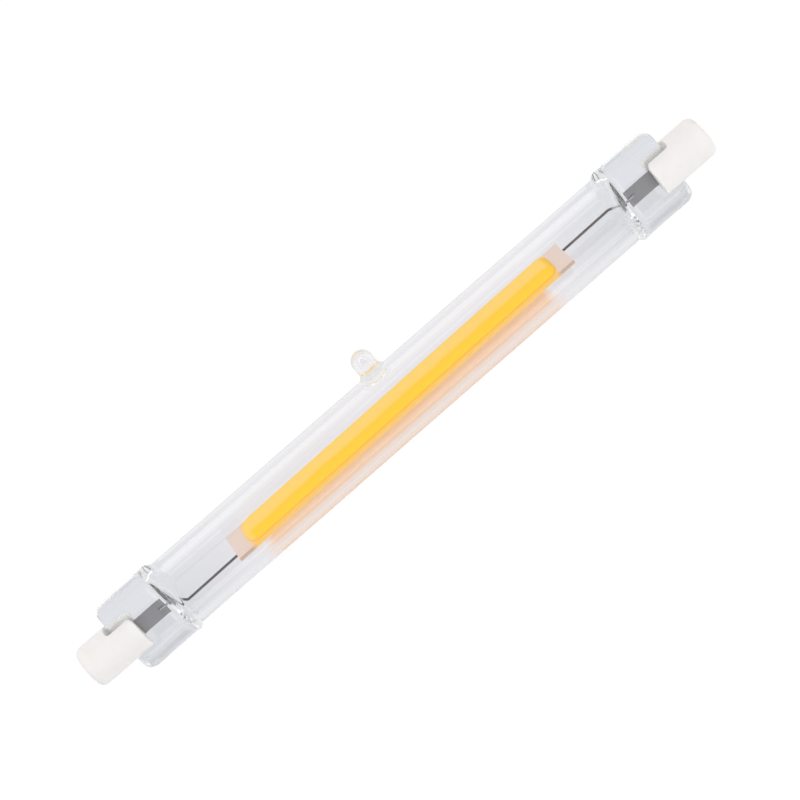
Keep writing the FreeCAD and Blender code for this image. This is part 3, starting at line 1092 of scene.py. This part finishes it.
def lead_tree(material):
    """A round wire along the edges that come in, with its corners bent to a radius."""
    tree, start = begin_tree("bent_wire", "Wire radius", "Bend radius")
    path = add_node(tree, "GeometryNodeMeshToCurve", {"Mesh": start["Geometry"]})
    inputs = {
        "Curve": path.outputs["Curve"],
        "Radius": start["Bend radius"],
        "Count": BEND_POINTS,
        "Limit Radius": True,
    }
    bent = add_node(tree, "GeometryNodeFilletCurve", inputs, mode="POLY")
    inputs = {"Radius": start["Wire radius"], "Resolution": WIRE_SIDES}
    section = add_node(tree, "GeometryNodeCurvePrimitiveCircle", inputs)
    inputs = {
        "Curve": bent.outputs["Curve"],
        "Profile Curve": section.outputs["Curve"],
        "Fill Caps": True,
    }
    wire = add_node(tree, "GeometryNodeCurveToMesh", inputs)
    return end_tree(tree, wire.outputs["Mesh"], material)


def weld_tree(material):
    """A flattened dome at each point that comes in."""
    tree, start = begin_tree("spot_welds", "Weld radius", "Roll")
    points = add_node(tree, "GeometryNodeMeshToPoints", {"Mesh": start["Geometry"]})
    inputs = {"Radius": start["Weld radius"], "Segments": 20, "Rings": 12}
    dome = add_node(tree, "GeometryNodeMeshUVSphere", inputs)
    turn = add_node(tree, "ShaderNodeCombineXYZ", {"X": start["Roll"]})
    inputs = {
        "Points": points.outputs["Points"],
        "Instance": dome.outputs["Mesh"],
        "Rotation": turn.outputs["Vector"],
        "Scale": Vector(WELD_FLATTENING),
    }
    placed = add_node(tree, "GeometryNodeInstanceOnPoints", inputs)
    return end_tree(tree, placed.outputs["Instances"], material)


def solder_mesh(centre_x, height, leads):
    """A small hill of solder on the pad that rises to the lead in a hollow curve."""
    vertices = []
    rows = []
    for step in range(SOLDER_RINGS):
        part = step / SOLDER_RINGS
        radius = leads.solder_radius * (1 - part) ** 0.75
        lift = leads.solder_height * part**1.6
        rows.append(range(len(vertices), len(vertices) + SOLDER_SIDES))
        for i in range(SOLDER_SIDES):
            angle = 2 * math.pi * i / SOLDER_SIDES
            x = centre_x + radius * math.cos(angle)
            z = height + radius * math.sin(angle)
            vertices.append(on_board(x, -PAD_BACK - lift, z))
    vertices.append(on_board(centre_x, -PAD_BACK - leads.solder_height, height))
    faces = [tuple(reversed(rows[0]))]
    for lower, upper in zip(rows, rows[1:]):
        faces += ring_faces(lower, upper)
    faces += fan(rows[-1], len(vertices) - 1)
    return closed_mesh(vertices, faces)


class LAMP_OT_leads(bpy.types.Operator):
    """Make the bent leads, their welds and solder, and finish the seals and contacts"""

    bl_idname = "lamp.leads"
    bl_label = "Leads, seals and contacts"

    def execute(self, context):
        leads = props("leads")
        colours = props("colours")
        wire = wire_material(colours)
        foil = foil_material(colours)
        solder = solder_material(colours)
        finishes = {
            "outer_lead_": wire,
            "seal_foil_": foil,
            "terminal_pad_": pad_material(colours),
            "contact_button_": contact_material(colours),
        }
        bent_wire = lead_tree(wire)
        wire_sizes = {"Wire radius": leads.radius, "Bend radius": leads.bend}
        on_foil = -FOIL_TOP + leads.radius
        behind = -PAD_BACK - SOLDER_FILM - leads.radius
        welds = []
        for side, sign in SIDES.items():
            height = LEAD_HEIGHTS[side]
            path = [
                rolled(sign * (FOIL_INNER + ON_FOIL), 0, on_foil),
                rolled(sign * KINK_START, 0, on_foil),
                on_board(sign * KINK_END - SHIFT, behind, height),
                on_board(sign * JOINT, behind, height),
            ]
            edges = [(i, i + 1) for i in range(len(path) - 1)]
            mesh = grown("bent_lead_" + side, path, edges, bent_wire, wire_sizes)
            finish_piece("bent_lead_" + side, mesh, wire, ["inner_lead_" + side])
            mesh = solder_mesh(sign * JOINT, height, leads)
            finish_piece("solder_mound_" + side, mesh, solder, ["solder_joint_" + side])
            for place in WELD_PLACES:
                x = sign * (FOIL_INNER + ON_FOIL * place)
                welds.append(rolled(x, 0, -FOIL_TOP + WELD_LIFT))
            for name, material in finishes.items():
                paint(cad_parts[name + side], material)
        weld_sizes = {"Weld radius": leads.weld_radius, "Roll": ROLL}
        mesh = grown("foil_spot_welds", welds, [], weld_tree(foil), weld_sizes)
        finish_piece("foil_spot_welds", mesh, foil)
        return {"FINISHED"}


# Table, light and camera

# The picture's middle, along the lamp and across it
PICTURE_MIDDLE = (0.6 * MM, -0.2 * MM)
TABLE_HALF = 900 * MM
# How much of the table's shade the white picture drops, and how bright that white is
CUT_OUT = 0.85
CUT_OUT_WHITE = 1.06
# How much brighter the room is in the strip low down
STRIP_EXTRA = 1.2
# Half the length of the bead's warm light painted on the table, and how far in front of the axis it
# ends
GLOW_HALF = 27.1 * MM
GLOW_FRONT = 4.9 * MM
# Where the table's painted shades begin and are full: along the lamp towards the caps, across it
# towards the near side, and where they give way to the paler table in front
END_SHADE = (28 * MM, 42 * MM)
FRONT_SHADE = (2 * MM, -3 * MM)
RIM_SHADE = (-4.6 * MM, -6.2 * MM)
# Each softbox's place, width and power
SOFTBOXES = {
    "key_softbox": ((-0.25, 0.35, 0.5), 0.35, 1.1),
    "fill_softbox": ((0.3, -0.45, 0.3), 0.4, 1.0),
}
# Light goes to and fro in the thick glass at the ends before it comes out
BOUNCES = {
    "max_bounces": 24,
    "diffuse_bounces": 10,
    "glossy_bounces": 16,
    "transmission_bounces": 24,
    "transparent_max_bounces": 48,
}


def smooth_box(tree, place, middle, half, soft):
    """One inside a rectangle of the table, and nought outside, with soft edges."""
    sides = []
    for axis, centre, size in zip("XY", middle, half):
        sides.append(ramp(tree, apart(tree, place[axis], centre), size + soft, size - soft))
    return calc(tree, "MULTIPLY", *sides)


def table_material(stage):
    """White lacquered board: white to the eye, and under the glass painted with shade near the caps, a
    highlight strip and the bead's warm glow.
    """
    material, tree, shader, output = new_surface("white_lacquered_table")
    white = stage.table_white
    feed(tree, shader, {"Base Color": (white, white, white, 1.0), "Roughness": 0.6})
    place = axes(tree, own_place(tree))
    # Painted shade: the table darkens towards the caps and, near them, towards the near side, and is
    # paler again in front of the lamp
    to_ends = ramp(tree, apart(tree, place["X"]), *END_SHADE)
    to_front = ramp(tree, place["Y"], *FRONT_SHADE)
    ends = blend_colours(tree, to_front, stage.backdrop_end_painted_shade, stage.backdrop_front_painted_shade)
    backdrop_painted_light = blend_colours(tree, to_ends, stage.backdrop, ends)
    backdrop_painted_light = blend_colours(tree, ramp(tree, place["Y"], *RIM_SHADE), backdrop_painted_light, stage.backdrop_rim)
    # Each patch has its colour, its middle, its half length and half width, and its softness
    patches = (
        # A painted highlight strip behind the lamp
        (stage.backdrop_back_painted_highlight, (0.0, 8.4 * MM), (42.0 * MM, 3.0 * MM), 0.4 * MM),
        # Painted pools of the bead's warm light, a faint one and a strong one
        (stage.painted_faint_glow, (0.0, -8.0 * MM), (GLOW_HALF + 1.4 * MM, 5.0 * MM), 1.0 * MM),
        (stage.painted_warm_glow, (0.0, -GLOW_FRONT / 2), (GLOW_HALF, GLOW_FRONT / 2), 0.8 * MM),
    )
    for colour, *box in patches:
        backdrop_painted_light = blend_colours(tree, smooth_box(tree, place, *box), backdrop_painted_light, colour)
    mirror = add_node(tree, "ShaderNodeBsdfGlossy", {"Color": WHITE, "Roughness": 0.1})
    pale = glowing(tree, backdrop_painted_light)
    lacquer = blend_shaders(tree, stage.table_gloss, pale, mirror.outputs["BSDF"])
    path = add_node(tree, "ShaderNodeLightPath").outputs
    seen = blend_shaders(tree, path["Is Transmission Ray"], shader.outputs["BSDF"], lacquer)
    # The table is cut out to white in the picture, and keeps only part of the shadow
    shown = calc(tree, "MULTIPLY", path["Is Camera Ray"], CUT_OUT)
    mixed = blend_shaders(tree, shown, seen, glowing(tree, WHITE, CUT_OUT_WHITE))
    feed(tree, output, {"Surface": mixed})
    return material


def surroundings(stage):
    """A white room: pale all round, a little darker towards the horizon."""
    world = bpy.data.worlds.new("white_room")
    bpy.context.scene.world = world
    world.use_nodes = True
    tree = world.node_tree
    tree.nodes.clear()
    up = axes(tree, add_node(tree, "ShaderNodeTexCoord").outputs["Generated"])["Z"]
    rise = ramp(tree, up, 0.0, 0.8, stage.sky * 0.9, stage.sky * 1.05)
    path = add_node(tree, "ShaderNodeLightPath").outputs
    mirrored = calc(tree, "MAXIMUM", path["Is Glossy Ray"], path["Is Transmission Ray"])
    seen = calc(tree, "MAXIMUM", path["Is Camera Ray"], mirrored)
    # The glass shows a bright strip low down all round, which lights its edges
    low_light = calc(tree, "MULTIPLY", ramp(tree, up, 0.25, 0.05), STRIP_EXTRA)
    far_wall = calc(tree, "MULTIPLY_ADD", low_light, mirrored, 1.0)
    strength = add_node(tree, "ShaderNodeMix", {0: seen, 2: rise, 3: far_wall}, data_type="FLOAT")
    colour = blend_colours(tree, mirrored, WHITE, stage.backdrop)
    inputs = {"Color": colour, "Strength": strength.outputs[0]}
    background = add_node(tree, "ShaderNodeBackground", inputs)
    add_node(tree, "ShaderNodeOutputWorld", {"Surface": background.outputs["Background"]})


def softbox(name, place, size, power):
    """A square area lamp that faces the lamp on the table."""
    data = bpy.data.lights.new(name, "AREA")
    data.shape = "SQUARE"
    data.size = size
    data.energy = power
    box = place_in_scene(name, data)
    box.location = place
    box.rotation_mode = "QUATERNION"
    box.rotation_quaternion = (-Vector(place)).to_track_quat("-Z", "Y")
    box.visible_transmission = False
    box.visible_glossy = False


class LAMP_OT_stage(bpy.types.Operator):
    """Set the table, the light and the camera"""

    bl_idname = "lamp.stage"
    bl_label = "Table, light and camera"

    def execute(self, context):
        stage = props("stage")
        bottom = CAD_BOUNDS[0].z
        corners = ((-1, -1), (1, -1), (1, 1), (-1, 1))
        points = [(x * TABLE_HALF, y * TABLE_HALF, bottom) for x, y in corners]
        mesh = new_mesh("table", points, [(0, 1, 2, 3)])
        table = place_in_scene("table", mesh)
        paint(table, table_material(stage))
        table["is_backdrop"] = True
        surroundings(stage)
        for name, settings in SOFTBOXES.items():
            softbox(name, *settings)
        self.camera(context, stage)
        context.scene.view_settings.view_transform = "Standard"
        for name, count in BOUNCES.items():
            setattr(context.scene.cycles, name, count)
        return {"FINISHED"}

    def camera(self, context, stage):
        """Look down on the lamp, with the lamp turned in the picture."""
        rise = stage.elevation
        along = Vector((1, 0, 0))
        up = Vector((0, math.sin(rise), math.cos(rise)))
        back = Vector((0, -math.cos(rise), math.sin(rise)))
        turn = stage.turn
        right = along * math.cos(turn) - up * math.sin(turn)
        top = along * math.sin(turn) + up * math.cos(turn)
        data = bpy.data.cameras.new("camera")
        data.lens = data.sensor_width * stage.distance / stage.picture_width
        data.clip_start = 0.01
        data.clip_end = 10.0
        camera = place_in_scene("camera", data)
        target = along * PICTURE_MIDDLE[0] + up * PICTURE_MIDDLE[1]
        place = target + back * stage.distance
        facing = Matrix((right, top, back)).transposed().to_4x4()
        camera.matrix_world = Matrix.Translation(place) @ facing
        context.scene.camera = camera


# The add-on

GROUPS = {
    "glass": GlassSizes,
    "bead": BeadSizes,
    "leads": LeadSizes,
    "caps": CapSizes,
    "colours": Colours,
    "stage": StageSizes,
}
OPERATORS = (LAMP_OT_glass, LAMP_OT_caps, LAMP_OT_bead, LAMP_OT_leads, LAMP_OT_stage)


class LAMP_PT_panel(bpy.types.Panel):
    """The lamp's pieces and settings"""

    bl_idname = "LAMP_PT_panel"
    bl_label = "Linear LED lamp"
    bl_space_type = "VIEW_3D"
    bl_region_type = "UI"
    bl_category = "Lamp"

    def draw(self, context):
        for operator in OPERATORS:
            self.layout.operator(operator.bl_idname)
        for name in GROUPS:
            box = self.layout.box()
            box.label(text=name.title())
            group = props(name)
            for setting in group.__annotations__:
                box.prop(group, setting)


def register():
    for kind in (*GROUPS.values(), *OPERATORS, LAMP_PT_panel):
        bpy.utils.register_class(kind)
    for name, kind in GROUPS.items():
        setattr(bpy.types.Scene, "lamp_" + name, PointerProperty(type=kind))


def unregister():
    for name in GROUPS:
        delattr(bpy.types.Scene, "lamp_" + name)
    for kind in (LAMP_PT_panel, *OPERATORS, *GROUPS.values()):
        bpy.utils.unregister_class(kind)


def plain(bounds):
    """Two corners as lists of numbers."""
    return [list(corner) for corner in bounds]


def main():
    register()
    for operator in OPERATORS:
        group, name = operator.bl_idname.split(".")
        getattr(getattr(bpy.ops, group), name)()
    {"cad": plain(CAD_BOUNDS), "visual": plain(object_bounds())}


if __name__ == "__main__":
    main()
